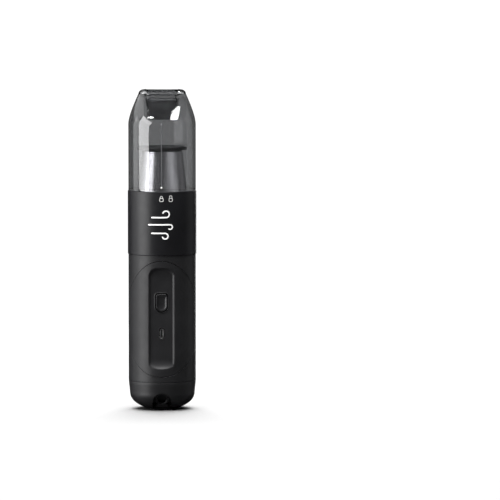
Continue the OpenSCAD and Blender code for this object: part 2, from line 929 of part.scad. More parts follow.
module usb_shell() {
    color(steel)
        difference() {
            front_prism(recess_y + 0.5, board_y) stadium(3.3, usb_z - 4.5, usb_z + 4.5);
            front_prism(recess_y, board_y - 1.5) stadium(2.7, usb_z - 4.2, usb_z + 4.2);
        }
}

module usb_tongue() {
    color([0.1, 0.1, 0.1])
        box(-0.35, 0.35, recess_y + 1.3, board_y - 1.5, usb_z - 3.3, usb_z + 3.3);
}

// routes of the leads, from the cells up to the board and from the board up to the motor
battery_route = [[4, 3, 101.9], [4, 3, 103.4], [4, -1.5, 105.2], [4, -9, 104.5], [4, -17.1, 103]];
motor_route = [[9, -17.3, 112], [9, -14, 112.5], [9, -8, 115], [9, -2, 118.5], [9, 0, 122.4]];
lead_r = 0.9;

function mirrored(p) = [for (q = p) [-q.x, q.y, q.z]];

module lead_pair(points) {
    color([0.7, 0.1, 0.08]) lead(points, lead_r);
    color([0.08, 0.08, 0.08]) lead(mirrored(points), lead_r);
}

module battery_leads() {
    lead_pair(battery_route);
}

module motor_leads() {
    lead_pair(motor_route);
}

// ---- nodes ----

base_cap();
rear_shell();
front_cover();
collar();
cup_seal();
dust_cup();
flap_pin();
inlet_flap();
filter_frame();
filter_screen();
filter_cap();
hepa_element();
filter_seal();
inlet_guard();
guard_screws();
fan_housing();
impeller();
motor_can();
motor_magnets();
motor_end_cap();
front_bushing();
rear_bushing();
motor_shaft();
armature_core();
armature_windings();
commutator();
carbon_brushes();
motor_terminals();
motor_mount();
battery_cell(-cell_x);  // battery_cell_left
battery_cell(cell_x);  // battery_cell_right
cell_links();
battery_tray();
main_board();
board_chips();
board_screws();
tact_switch();
usb_shell();
usb_tongue();
power_button();
exhaust_foam();
hanging_loop();
loop_pin();
battery_leads();
motor_leads();
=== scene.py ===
"""Cordless handheld vacuum: visible shells, clear dust cup, materials and studio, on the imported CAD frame."""

import math

import bmesh
import bpy
from mathutils import Matrix, Vector


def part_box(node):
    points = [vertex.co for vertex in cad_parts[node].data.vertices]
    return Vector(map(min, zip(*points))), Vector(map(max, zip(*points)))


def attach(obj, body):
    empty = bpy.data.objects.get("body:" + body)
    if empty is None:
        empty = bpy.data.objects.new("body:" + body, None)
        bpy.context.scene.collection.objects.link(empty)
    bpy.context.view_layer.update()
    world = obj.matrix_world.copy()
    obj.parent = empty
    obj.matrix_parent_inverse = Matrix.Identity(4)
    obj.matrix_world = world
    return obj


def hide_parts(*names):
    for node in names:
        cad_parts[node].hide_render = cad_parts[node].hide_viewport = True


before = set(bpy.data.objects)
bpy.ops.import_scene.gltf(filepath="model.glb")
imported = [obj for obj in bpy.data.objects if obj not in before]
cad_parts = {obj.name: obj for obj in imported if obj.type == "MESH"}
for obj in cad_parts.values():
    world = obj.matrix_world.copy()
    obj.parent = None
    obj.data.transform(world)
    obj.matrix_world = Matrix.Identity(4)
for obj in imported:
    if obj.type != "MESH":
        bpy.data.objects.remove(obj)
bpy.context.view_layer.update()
MM = 0.001

# ---------------------------------------------------------------- sizes, in millimetres

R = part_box("rear_shell")[1].x / MM            # handle and cup
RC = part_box("collar")[1].x / MM               # collar
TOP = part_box("dust_cup")[1].z / MM
CAP_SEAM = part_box("rear_shell")[0].z / MM     # rear shell starts just above the base cap
COLLAR_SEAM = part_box("rear_shell")[1].z / MM
CUP_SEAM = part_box("collar")[1].z / MM
COVER_Z = [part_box("front_cover")[i].z / MM for i in (0, 1)]
FILTER_CAP = [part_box("filter_cap")[i].z / MM for i in (0, 1)]
CUP_WALL = 2.1


# ---------------------------------------------------------------- materials

def nodes_of(name):
    mat = bpy.data.materials.new(name)
    mat.use_nodes = True
    nt = mat.node_tree
    return mat, nt, nt.nodes["Principled BSDF"]


def noise(nt, scale, detail=3.0, rough=0.55, stretch=None):
    """Noise in object space, in metres; stretch scales its axes."""
    tex = nt.nodes.new("ShaderNodeTexNoise")
    tex.inputs["Scale"].default_value = scale
    tex.inputs["Detail"].default_value = detail
    tex.inputs["Roughness"].default_value = rough
    coord = nt.nodes.new("ShaderNodeTexCoord")
    if stretch:
        mapping = nt.nodes.new("ShaderNodeMapping")
        mapping.inputs["Scale"].default_value = stretch
        nt.links.new(coord.outputs["Object"], mapping.inputs["Vector"])
        nt.links.new(mapping.outputs["Vector"], tex.inputs["Vector"])
    else:
        nt.links.new(coord.outputs["Object"], tex.inputs["Vector"])
    return tex


def ramp(nt, source, low, high, a=0.35, b=0.65):
    """Colour ramp from low to high over the source's values a to b."""
    r = nt.nodes.new("ShaderNodeValToRGB")
    r.color_ramp.elements[0].position = a
    r.color_ramp.elements[1].position = b
    r.color_ramp.elements[0].color = (*low, 1)
    r.color_ramp.elements[1].color = (*high, 1)
    nt.links.new(source, r.inputs["Fac"])
    return r


def spread(nt, source, low, high):
    """Maps the middle of a noise, 0.3 to 0.7, to low .. high."""
    m = nt.nodes.new("ShaderNodeMapRange")
    m.inputs["From Min"].default_value = 0.3
    m.inputs["From Max"].default_value = 0.7
    m.inputs["To Min"].default_value = low
    m.inputs["To Max"].default_value = high
    nt.links.new(source, m.inputs["Value"])
    return m


def bump(nt, bsdf, source, strength, distance):
    b = nt.nodes.new("ShaderNodeBump")
    b.inputs["Strength"].default_value = strength
    b.inputs["Distance"].default_value = distance
    nt.links.new(source, b.inputs["Height"])
    nt.links.new(b.outputs["Normal"], bsdf.inputs["Normal"])


def plastic(name, colour, rough, grain=2600, grain_depth=0.00002, vary=0.12, spec=0.5, coat=0.0):
    """Moulded plastic: faint colour drift, uneven gloss and a fine spark-eroded grain."""
    mat, nt, bsdf = nodes_of(name)
    drift = noise(nt, 38, 4)
    low = [c * (1 - vary) for c in colour]
    high = [c * (1 + vary) for c in colour]
    nt.links.new(ramp(nt, drift.outputs["Fac"], low, high).outputs["Color"], bsdf.inputs["Base Color"])
    fine = noise(nt, grain, 2, 0.6)
    gloss = noise(nt, 120, 3)
    nt.links.new(spread(nt, gloss.outputs["Fac"], rough - 0.04, rough + 0.05).outputs["Result"],
                 bsdf.inputs["Roughness"])
    bump(nt, bsdf, fine.outputs["Fac"], 0.35, grain_depth)
    bsdf.inputs["Specular IOR Level"].default_value = spec
    if coat:
        bsdf.inputs["Coat Weight"].default_value = coat
        bsdf.inputs["Coat Roughness"].default_value = 0.12
    return mat


def metal(name, colour, rough, stretch=(1, 1, 1), scale=900, depth=0.000012, vary=0.1):
    """Worked metal: directional scratches in its gloss and relief, and a slight colour drift."""
    mat, nt, bsdf = nodes_of(name)
    bsdf.inputs["Metallic"].default_value = 1.0
    brush = noise(nt, scale, 5, 0.65, stretch)
    drift = noise(nt, 60, 3)
    low = [c * (1 - vary) for c in colour]
    high = [min(1, c * (1 + vary)) for c in colour]
    nt.links.new(ramp(nt, drift.outputs["Fac"], low, high).outputs["Color"], bsdf.inputs["Base Color"])
    nt.links.new(spread(nt, brush.outputs["Fac"], rough * 0.8, rough * 1.3).outputs["Result"],
                 bsdf.inputs["Roughness"])
    bump(nt, bsdf, brush.outputs["Fac"], 0.25, depth)
    return mat


def rubber(name, colour, rough=0.7):
    mat, nt, bsdf = nodes_of(name)
    bloom = noise(nt, 90, 5)
    nt.links.new(ramp(nt, bloom.outputs["Fac"], [c * 0.75 for c in colour], [c * 1.35 for c in colour])
                 .outputs["Color"], bsdf.inputs["Base Color"])
    fine = noise(nt, 1500, 3)
    nt.links.new(spread(nt, bloom.outputs["Fac"], rough - 0.08, rough + 0.08).outputs["Result"],
                 bsdf.inputs["Roughness"])
    bump(nt, bsdf, fine.outputs["Fac"], 0.5, 0.00004)
    bsdf.inputs["Specular IOR Level"].default_value = 0.3
    return mat


def smoked_clear():
    """Smoke-tinted polycarbonate: darker where it is seen edge on, with faint moulding ripple."""
    mat, nt, bsdf = nodes_of("smoked_clear")
    bsdf.inputs["Transmission Weight"].default_value = 1.0
    bsdf.inputs["IOR"].default_value = 1.5
    facing = nt.nodes.new("ShaderNodeLayerWeight")
    facing.inputs["Blend"].default_value = 0.35
    tint = ramp(nt, facing.outputs["Facing"], (0.41, 0.414, 0.42), (0.06, 0.061, 0.063), 0.3, 0.92)
    nt.links.new(tint.outputs["Color"], bsdf.inputs["Base Color"])
    haze = noise(nt, 70, 3)
    nt.links.new(spread(nt, haze.outputs["Fac"], 0.015, 0.05).outputs["Result"], bsdf.inputs["Roughness"])
    ripple = noise(nt, 55, 1, 0.4, (1, 1, 0.3))
    bump(nt, bsdf, ripple.outputs["Fac"], 0.06, 0.0002)
    clear = nt.nodes.new("ShaderNodeBsdfTransparent")
    clear.inputs["Color"].default_value = (0.55, 0.555, 0.56, 1)
    path = nt.nodes.new("ShaderNodeLightPath")
    mix = nt.nodes.new("ShaderNodeMixShader")
    out = nt.nodes["Material Output"]
    nt.links.new(path.outputs["Is Shadow Ray"], mix.inputs["Fac"])
    nt.links.new(bsdf.outputs["BSDF"], mix.inputs[1])
    nt.links.new(clear.outputs["BSDF"], mix.inputs[2])
    nt.links.new(mix.outputs["Shader"], out.inputs["Surface"])
    return mat


def pierced_steel():
    """Polished steel screen with rows of fine etched holes, seen as a tiny regular dimple."""
    mat, nt, bsdf = nodes_of("pierced_steel")
    bsdf.inputs["Metallic"].default_value = 1.0
    uv = nt.nodes.new("ShaderNodeTexCoord")
    cells = nt.nodes.new("ShaderNodeTexVoronoi")
    cells.inputs["Scale"].default_value = 1.0
    cells.inputs["Randomness"].default_value = 0.0
    mapping = nt.nodes.new("ShaderNodeMapping")
    mapping.inputs["Scale"].default_value = (400, 115, 1)
    nt.links.new(uv.outputs["UV"], mapping.inputs["Vector"])
    nt.links.new(mapping.outputs["Vector"], cells.inputs["Vector"])
    hole = ramp(nt, cells.outputs["Distance"], (0.42, 0.41, 0.425), (0.97, 0.96, 0.97), 0.2, 0.34)
    streak = noise(nt, 300, 4, 0.6, (1, 1, 0.05))
    drift = ramp(nt, streak.outputs["Fac"], (0.92, 0.91, 0.93), (1, 1, 1))
    both = nt.nodes.new("ShaderNodeMix")
    both.data_type = "RGBA"
    both.blend_type = "MULTIPLY"
    both.inputs["Factor"].default_value = 1.0
    nt.links.new(hole.outputs["Color"], both.inputs[6])
    nt.links.new(drift.outputs["Color"], both.inputs[7])
    nt.links.new(both.outputs[2], bsdf.inputs["Base Color"])
    nt.links.new(spread(nt, streak.outputs["Fac"], 0.16, 0.26).outputs["Result"], bsdf.inputs["Roughness"])
    bump(nt, bsdf, cells.outputs["Distance"], 0.12, 0.00003)
    return mat


def printed_white():
    mat, nt, bsdf = nodes_of("printed_white")
    ink = noise(nt, 700, 3)
    nt.links.new(ramp(nt, ink.outputs["Fac"], (0.80, 0.80, 0.79), (0.9, 0.9, 0.89)).outputs["Color"],
                 bsdf.inputs["Base Color"])
    nt.links.new(spread(nt, ink.outputs["Fac"], 0.45, 0.6).outputs["Result"], bsdf.inputs["Roughness"])
    return mat


def pleated_paper():
    mat, nt, bsdf = nodes_of("pleated_paper")
    fibre = noise(nt, 1800, 6, 0.7)
    dust = noise(nt, 60, 4)
    nt.links.new(ramp(nt, dust.outputs["Fac"], (0.78, 0.77, 0.72), (0.9, 0.89, 0.85)).outputs["Color"],
                 bsdf.inputs["Base Color"])
    nt.links.new(spread(nt, fibre.outputs["Fac"], 0.8, 0.95).outputs["Result"], bsdf.inputs["Roughness"])
    bump(nt, bsdf, fibre.outputs["Fac"], 0.4, 0.0001)
    return mat


SHELL = plastic("shell_black", (0.013, 0.013, 0.014), 0.42, spec=0.24)
COLLAR = plastic("collar_black", (0.008, 0.008, 0.0092), 0.38, grain=1800, grain_depth=0.00001, spec=0.26)
GLOSS = plastic("gloss_black", (0.012, 0.012, 0.013), 0.32, grain=900, grain_depth=0.000006, spec=0.28)
CLEAR = smoked_clear()
# rough frosted rib inside the cup's front; its light grey base colour is a painted highlight, so the rib reads
# as a light line
RIB_PAINTED_HIGHLIGHT = plastic("frosted_rib_painted_highlight", (0.5, 0.5, 0.51), 0.55, grain=900, grain_depth=0.00001)
RUBBER = rubber("black_rubber", (0.04, 0.04, 0.041))
FLAP_RUBBER = rubber("grey_rubber", (0.17, 0.17, 0.175))
FILTER_BLACK = plastic("filter_black", (0.035, 0.035, 0.036), 0.5)
SCREEN = pierced_steel()
WHITE = printed_white()
STEEL = metal("steel", (0.62, 0.62, 0.63), 0.28)
BLACK_STEEL = metal("black_steel", (0.06, 0.06, 0.062), 0.4)
SATIN = metal("satin_steel", (0.8, 0.8, 0.8), 0.5)
NICKEL = metal("nickel", (0.75, 0.74, 0.7), 0.3)
BRONZE = metal("bronze", (0.62, 0.44, 0.22), 0.4)
COPPER = metal("copper", (0.72, 0.36, 0.2), 0.35, (1, 1, 30), 500, 0.00012)
IRON = metal("core_iron", (0.32, 0.33, 0.35), 0.45, (0.02, 0.02, 25), 400, 0.0001)
MAGNET = rubber("magnet", (0.08, 0.08, 0.085), 0.5)
INNER = plastic("inner_plastic", (0.05, 0.05, 0.055), 0.5)
PAPER = pleated_paper()
CARBON = rubber("carbon", (0.02, 0.02, 0.02), 0.6)
WRAP = plastic("cell_wrap", (0.03, 0.10, 0.28), 0.25, grain=300, grain_depth=0.00002, coat=0.4)
BOARD = plastic("board_green", (0.01, 0.09, 0.035), 0.3, grain=700, grain_depth=0.00003, vary=0.3)
CHIP = plastic("chip_black", (0.015, 0.015, 0.016), 0.5, grain=3000)
FOAM = rubber("open_foam", (0.02, 0.02, 0.022), 0.95)
WIRE = plastic("wire_insulation", (0.30, 0.02, 0.015), 0.4, grain=1200)

FINISH = {
    "cup_seal": RUBBER, "flap_pin": STEEL, "filter_frame": FILTER_BLACK, "hepa_element": PAPER,
    "filter_seal": RUBBER, "inlet_guard": INNER, "guard_screws": STEEL, "fan_housing": INNER,
    "impeller": INNER, "motor_can": STEEL, "motor_magnets": MAGNET, "motor_end_cap": INNER,
    "front_bushing": BRONZE, "rear_bushing": BRONZE, "motor_shaft": STEEL, "armature_core": IRON,
    "armature_windings": COPPER, "commutator": COPPER, "carbon_brushes": CARBON,
    "motor_terminals": BRONZE, "motor_mount": RUBBER, "battery_cell_left": WRAP,
    "battery_cell_right": WRAP, "cell_links": NICKEL, "battery_tray": INNER, "main_board": BOARD,
    "board_chips": CHIP, "board_screws": STEEL, "tact_switch": CHIP, "usb_shell": SATIN,
    "usb_tongue": CHIP, "exhaust_foam": FOAM, "loop_pin": BLACK_STEEL, "battery_leads": WIRE,
    "motor_leads": WIRE, "base_cap": SHELL, "rear_shell": SHELL, "front_cover": SHELL,
    "collar": COLLAR, "dust_cup": CLEAR, "inlet_flap": FLAP_RUBBER, "filter_screen": SCREEN,
    "filter_cap": FILTER_BLACK, "power_button": GLOSS, "hanging_loop": GLOSS,
}
for node, mat in FINISH.items():
    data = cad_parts[node].data
    data.materials.clear()
    data.materials.append(mat)


# ---------------------------------------------------------------- mesh helpers

def build(name, verts, faces, mat, body, sharp=32, outward=False):
    """Mesh in millimetres that rides a body, smooth shaded up to the sharp angle."""
    me = bpy.data.meshes.new(name)
    me.from_pydata([(x * MM, y * MM, z * MM) for x, y, z in verts], [], faces)
    bm = bmesh.new()
    bm.from_mesh(me)
    bmesh.ops.remove_doubles(bm, verts=bm.verts, dist=1e-7)
    bmesh.ops.recalc_face_normals(bm, faces=bm.faces)
    if outward and sum((f.normal.x * f.calc_center_median().x + f.normal.y * f.calc_center_median().y)
                       * f.calc_area() for f in bm.faces) < 0:
        bmesh.ops.reverse_faces(bm, faces=bm.faces)
    bm.to_mesh(me)
    bm.free()
    me.materials.append(mat)
    ob = bpy.data.objects.new(name, me)
    bpy.context.scene.collection.objects.link(ob)
    soften(me, sharp)
    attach(ob, body)
    return ob


def soften(me, sharp):
    for p in me.polygons:
        p.use_smooth = True
    me.set_sharp_from_angle(angle=math.radians(sharp))


def circle_ring(r, z, n=160):
    return [(r * math.cos(2 * math.pi * j / n), r * math.sin(2 * math.pi * j / n), z) for j in range(n)]


def bands(n, m, base=0, closed=True):
    """Faces between m equal rings of n points, the first point being base."""
    faces = []
    for i in range(m if closed else m - 1):
        a, b = base + i * n, base + ((i + 1) % m) * n
        for j in range(n):
            k = (j + 1) % n
            faces.append((a + j, a + k, b + k, b + j))
    return faces


def sheet_faces(n, m, base=0):
    """Faces of a grid of m rows with n points in each."""
    faces = []
    for i in range(m - 1):
        for j in range(n - 1):
            a = base + i * n + j
            faces.append((a, a + 1, a + n + 1, a + n))
    return faces


def prism_faces(q, base=0):
    """Faces of a prism between two equal outlines of q points."""
    ends = [tuple(range(base, base + q)), tuple(range(base + q, base + 2 * q))]
    return ends + [(base + i, base + (i + 1) % q, base + q + (i + 1) % q, base + q + i) for i in range(q)]


def rings(rows, closed_rows=False):
    """Points and faces over equal closed rings."""
    return [p for row in rows for p in row], bands(len(rows[0]), len(rows), closed=closed_rows)


def arc(c, r, a0, a1, n):
    """Points (r, z) on an arc, in degrees."""
    out = []
    for i in range(n + 1):
        a = math.radians(a0 + (a1 - a0) * i / n)
        out.append((c[0] + r * math.cos(a), c[1] + r * math.sin(a)))
    return out


def rounded(points, radius, n=4):
    """Closed outline (r, z) with its corners rounded; radius is one value or one per corner."""
    out = []
    m = len(points)
    for i, p in enumerate(points):
        r = radius[i] if isinstance(radius, (list, tuple)) else radius
        a = Vector(points[i - 1])
        b = Vector(p)
        c = Vector(points[(i + 1) % m])
        if r <= 0:
            out.append(tuple(b))
            continue
        u, v = (a - b), (c - b)
        r = min(r, 0.45 * u.length, 0.45 * v.length)
        u.normalize()
        v.normalize()
        for k in range(n + 1):
            t = k / n
            q = b + u * r * (1 - t) ** 2 + v * r * t ** 2
            out.append(tuple(q))
    return out


def revolve(outline, n=160):
    """Closed outline (r, z) turned about Z."""
    return rings([circle_ring(r, z, n) for r, z in outline], closed_rows=True)


def lathe(name, outline, mat, body, n):
    verts, faces = revolve(outline, n)
    return build(name, verts, faces, mat, body)


def thicken(ob, thickness, edge):
    """Gives a surface its wall, inwards, and rounds the rims."""
    wall = ob.modifiers.new("wall", "SOLIDIFY")
    wall.thickness = thickness * MM
    wall.offset = -1
    round_edges(ob, edge, 50)


def round_edges(ob, width, angle):
    """Rounds every edge that is sharper than the angle."""
    b = ob.modifiers.new("edge", "BEVEL")
    b.width = width * MM
    b.segments = 3
    b.limit_method = "ANGLE"
    b.angle_limit = math.radians(angle)


def settle(ob, sharp=32):
    """Applies the modifiers, so that the piece is a plain mesh."""
    dg = bpy.context.evaluated_depsgraph_get()
    me = bpy.data.meshes.new_from_object(ob.evaluated_get(dg))
    old = ob.data
    ob.modifiers.clear()
    ob.data = me
    bpy.data.meshes.remove(old)
    soften(me, sharp)


def smooth01(t):
    t = max(0.0, min(1.0, t))
    return t * t * (3 - 2 * t)


# ---------------------------------------------------------------- base cap

SOLE_R, SHOULDER_R, SPLIT = 30.0, 12.0, 50     # two arcs that meet at the split angle
TAPER = 1.1                                    # how much narrower the cap is where the shoulder starts
FLAT_R = 6.0


def cap_profile():
    """Outer half section of the base cap from the axis out and up to its seam."""
    top_r = R - 0.06
    sole_z = 29.6
    taper_r = R - TAPER
    reach = SOLE_R - SHOULDER_R
    sc = (taper_r - SHOULDER_R, sole_z - reach * math.sin(math.radians(SPLIT)))
    so = (sc[0] - reach * math.cos(math.radians(SPLIT)), sole_z)
    start = math.degrees(math.acos(sole_z / SOLE_R)) - 90
    pts = [(0.0, 0.0), (FLAT_R, 0.0)]
    pts += arc(so, SOLE_R, start, -SPLIT, 14)
    pts += arc(sc, SHOULDER_R, -SPLIT, 0, 20)[1:]
    z_end = CAP_SEAM - 0.16
    for t in (0.25, 0.5, 0.75, 1.0):
        pts.append((taper_r + (top_r - taper_r) * t, sc[1] + (z_end - 0.5 - sc[1]) * t))
    pts += [(top_r - 0.1, z_end - 0.22), (top_r - 0.35, z_end)]
    return pts


TILT = math.radians(22)
LOOP_C = Vector((0, -22.4, 11.1))
LOOP_U = Vector((0, -math.sin(TILT), math.cos(TILT)))
LOOP_N = Vector((0, -math.cos(TILT), -math.sin(TILT)))


WELL_R, WELL_S, WELL_FLOOR = 8.4, -0.6, -4.7   # radius of the well, its centre up the ring's plane, its floor
RING_RO, RING_RI, RING_HALF = 6.3, 4.4, 1.1
BARREL_S, BARREL_W, BARREL_R, PIN_R = -7.6, -2.0, 1.9, 1.06


def loop_point(x, s, w):
    """x across, s up the ring's plane, w out of it towards the front."""
    return LOOP_C + Vector((x, 0, 0)) + LOOP_U * s + LOOP_N * w


def base_cap():
    prof = cap_profile()
    n = 224
    verts, faces = rings([circle_ring(r, z, n) for r, z in prof])
    verts.append((0, 0, prof[-1][1]))
    last = (len(prof) - 1) * n
    faces += [(last + j, last + (j + 1) % n, len(verts) - 1) for j in range(n)]
    ob = build("BaseCap", verts, faces, SHELL, "housing")
    # cutter in the shape of the loop's well: round at the top, open at the foot
    outline = []
    for i in range(25):
        a = math.radians(180 * i / 24)
        outline.append((WELL_R * math.cos(a), WELL_S + WELL_R * math.sin(a)))
    outline += [(-WELL_R - 0.2, -18), (WELL_R + 0.2, -18)]
    cv = [tuple(loop_point(x, s, w)) for w in (WELL_FLOOR, 22) for x, s in outline]
    cutter = build("cutter", cv, prism_faces(len(outline)), SHELL, "housing")
    mod = ob.modifiers.new("well", "BOOLEAN")
    mod.operation = "DIFFERENCE"
    mod.solver = "EXACT"
    mod.object = cutter
    settle(ob)
    bpy.data.objects.remove(cutter)
    round_edges(ob, 0.45, 40)
    settle(ob, 40)
    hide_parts("base_cap")


def hanging_loop():
    corners = [(RING_RI, -RING_HALF), (RING_RO, -RING_HALF), (RING_RO, RING_HALF), (RING_RI, RING_HALF)]
    sect = rounded(corners, 0.5, 5)
    n = 96
    verts = [tuple(loop_point(r * math.cos(2 * math.pi * j / n), r * math.sin(2 * math.pi * j / n), w))
             for r, w in sect for j in range(n)]
    faces = bands(n, len(sect))
    # web from the ring's foot to the barrel
    base = len(verts)
    web = rounded([(BARREL_S, BARREL_W), (-4.9, BARREL_W), (-4.9, -0.2), (BARREL_S, -0.2)], 0.3, 3)
    verts += [tuple(loop_point(x, s, w)) for x in (-3.0, 3.0) for s, w in web]
    faces += prism_faces(len(web), base)
    # barrel on the pin
    base, k = len(verts), 40
    for x, r in ((-5.5, PIN_R), (-5.5, BARREL_R - 0.3), (-5.2, BARREL_R),
                 (5.2, BARREL_R), (5.5, BARREL_R - 0.3), (5.5, PIN_R)):
        for j in range(k):
            a = 2 * math.pi * j / k
            verts.append(tuple(loop_point(x, BARREL_S + r * math.cos(a), BARREL_W + r * math.sin(a))))
    faces += bands(k, 6, base)
    ob = build("HangingLoop", verts, faces, GLOSS, "loop")
    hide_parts("hanging_loop")


# ---------------------------------------------------------------- handle shells

HALF_W, ARCH_TOP, ARCH_BOTTOM = 31.6, 44.0, 37.0
GAP = 0.22


def cover_half(z, g=0.0):
    """Half width of the cover's outline at height z, in the front view."""
    top, bottom = COVER_Z[1] + g, COVER_Z[0] - g
    hw, ct, cb = HALF_W, top - ARCH_TOP, bottom + ARCH_BOTTOM
    if z > ct:
        return hw * math.sqrt(max(0, 1 - ((z - ct) / (top - ct)) ** 2))
    if z < cb:
        return hw * math.sqrt(max(0, 1 - ((cb - z) / (cb - bottom)) ** 2))
    return hw


def cover_z(x, side, g=0.0):
    """Height of the cover's outline at x; side +1 is the upper edge."""
    s = math.sqrt(max(0, 1 - (x / HALF_W) ** 2))
    if side > 0:
        return COVER_Z[1] + g - ARCH_TOP + ARCH_TOP * s
    return COVER_Z[0] - g + ARCH_BOTTOM - ARCH_BOTTOM * s


def on_tube(angle, z, r=None):
    """Point on the tube; angle 0 is the front, positive to the right."""
    r = R if r is None else r
    a = math.radians(angle)
    return (r * math.sin(a), -r * math.cos(a), z)


SLOT_W, SLOT_Z0, SLOT_Z1, SLOT_PITCH = 1.1, 108.0, 130.0, 9.0      # half width, foot, head, degrees apart


def rear_shell():
    z0, z1 = CAP_SEAM, COLLAR_SEAM
    slots = [(i - 4) * SLOT_PITCH for i in range(9)]
    half = math.degrees(SLOT_W / R)
    # columns: front half in even steps, back half with a pair at every slot's edges
    front = [-90 + 180 * i / 72 for i in range(73)]
    back = []
    edges = []
    for s in slots:
        edges += [s - half, s + half]
    a = -90.0
    marks = [-90.0] + edges + [90.0]
    for p, q in zip(marks, marks[1:]):
        steps = max(1, round((q - p) / 2.5))
        back += [p + (q - p) * i / steps for i in range(steps)]
    back.append(90.0)
    back = [180 + b for b in back]       # 90 .. 270
    zt, zb = cover_z(R, 1, GAP), cover_z(R, -1, GAP)
    n_low, n_mid, n_top = 14, 10, 14
    ends = [SLOT_W * math.sin(math.radians(90 * i / 5)) for i in range(6)]
    slot_rows = [SLOT_Z0 + SLOT_W - e for e in reversed(ends)] + [SLOT_Z1 - SLOT_W + e for e in ends]
    top_rows = sorted(set([round(zt + (z1 - zt) * i / n_top, 4) for i in range(n_top + 1)] +
                          [round(z, 4) for z in slot_rows]))
    top_rows = [top_rows[0]] + [z for p, z in zip(top_rows, top_rows[1:]) if z - p > 0.004]
    low_rows = [z0 + (zb - z0) * i / n_low for i in range(n_low + 1)]
    mid_rows = [zb + (zt - zb) * i / n_mid for i in range(n_mid + 1)]
    rows = low_rows + mid_rows[1:] + top_rows[1:]
    verts, faces = [], []

    def slot_shift(angle, z):
        """Narrows a slot's edge columns round its ends."""
        b = angle - 180
        for s in slots:
            if abs(abs(b - s) - half) < 1e-6:
                d = max(SLOT_Z0 + SLOT_W - z, z - (SLOT_Z1 - SLOT_W))
                if 0 < d <= SLOT_W + 0.0001:
                    w = half * math.sqrt(max(0.0, 1 - (d / SLOT_W) ** 2))
                    return s + (w if b > s else -w) + 180
        return angle

    for z in rows:
        verts += [on_tube(slot_shift(a, z), z) for a in back]
    nb = len(back)
    for i in range(len(rows) - 1):
        zm = (rows[i] + rows[i + 1]) / 2
        for j in range(nb - 1):
            middle = (back[j] + back[j + 1]) / 2 - 180
            if SLOT_Z0 < zm < SLOT_Z1 and any(abs(middle - s) < half for s in slots):
                continue
            faces.append((i * nb + j, i * nb + j + 1, (i + 1) * nb + j + 1, (i + 1) * nb + j))
    # strips above and below the cover, over the front half
    for side, n in ((1, len(top_rows) - 1), (-1, n_low)):
        base = len(verts)
        for k in range(n + 1):
            for a in front:
                x = R * math.sin(math.radians(a))
                zc = cover_z(x, side, GAP)
                if side > 0:
                    t = (top_rows[k] - zt) / (z1 - zt)
                    z = zc + (z1 - zc) * t
                else:
                    t = (low_rows[k] - z0) / (zb - z0)
                    z = z0 + (zc - z0) * t
                verts.append(on_tube(a, z))
        faces += sheet_faces(len(front), n + 1, base)
    ob = build("RearShell", verts, faces, SHELL, "housing", outward=True)
    thicken(ob, 2.0, 0.36)
    settle(ob, 40)
    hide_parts("rear_shell")


REC_W, REC_Z0, REC_Z1, REC_R = 11.1, 24.8, 130.7, 7.0     # recess: half width, foot, head, corner radius
REC_Y = 27.4                                              # its floor, in front of the axis
SCOOP_R, SCOOP_Z = 14.0, 48.17
BTN_Z, BTN_W, BTN_H = 99.5, 10.4, 16.6
BTN_CORNER, BTN_POCKET, USB_POCKET = 2.0, 2.9, 2.6
USB_Z, USB_W, USB_H = 71.3, 2.25, 5.0


def box_distance(x, z, cx, cz, hw, hh, r):
    """Signed distance to a rounded rectangle, negative inside."""
    dx, dz = abs(x - cx) - (hw - r), abs(z - cz) - (hh - r)
    out = math.hypot(max(dx, 0), max(dz, 0))
    return out + min(max(dx, dz), 0) - r


def button_distance(x, z, grow=0.0):
    """Signed distance to the button's outline: small corners above, half round below."""
    hw, hh = BTN_W / 2 + grow, BTN_H / 2 + grow
    return box_distance(x, z, 0, BTN_Z, hw, hh, BTN_CORNER if z > BTN_Z else hw - 0.01)


def usb_distance(x, z):
    return box_distance(x, z, 0, USB_Z, USB_W, USB_H, USB_W - 0.05)


def cover_depth(x, z):
    """How far the cover's surface lies behind the tube there, in the depth direction."""
    y_surf = math.sqrt(max(R * R - x * x, 0))
    zc = (REC_Z0 + REC_Z1) / 2
    d = box_distance(x, z, 0, zc, REC_W, REC_Z1 - zc, REC_R)
    # soft outer shoulder, then the wall, then the flat floor
    t = max(0.0, min(1.0, (0.9 - d) / 2.0))
    m = 0.75 * t + 0.25 * smooth01(t)
    # the foot of the recess rises in a round scoop and meets the tube in a crescent
    run = max(0.0, SCOOP_Z - z)
    rise = SCOOP_R - math.sqrt(max(0.0, SCOOP_R * SCOOP_R - min(run, 13.0) ** 2))
    raw = y_surf - REC_Y - rise
    depth = m * (raw + math.sqrt(raw * raw + 0.05)) / 2
    if depth > 0:
        b = button_distance(x, z, 0.25)
        # raised lip round the button's opening, and the opening
        depth -= 0.35 * smooth01((1.6 - b) / 0.9) * smooth01((b + 0.2) / 0.3)
        depth += BTN_POCKET * smooth01((0.35 - b) / 0.3)
        u = usb_distance(x, z)
        depth -= 0.12 * smooth01((0.85 - u) / 0.4) * smooth01((u + 0.1) / 0.2)
        depth += USB_POCKET * smooth01((0.1 - u) / 0.25)
    return depth


def spaced(points):
    """Stations from (start, end, step) runs."""
    out = []
    for a, b, step in points:
        n = max(1, round((b - a) / step))
        out += [a + (b - a) * i / n for i in range(n)]
    out.append(points[-1][1])
    return out


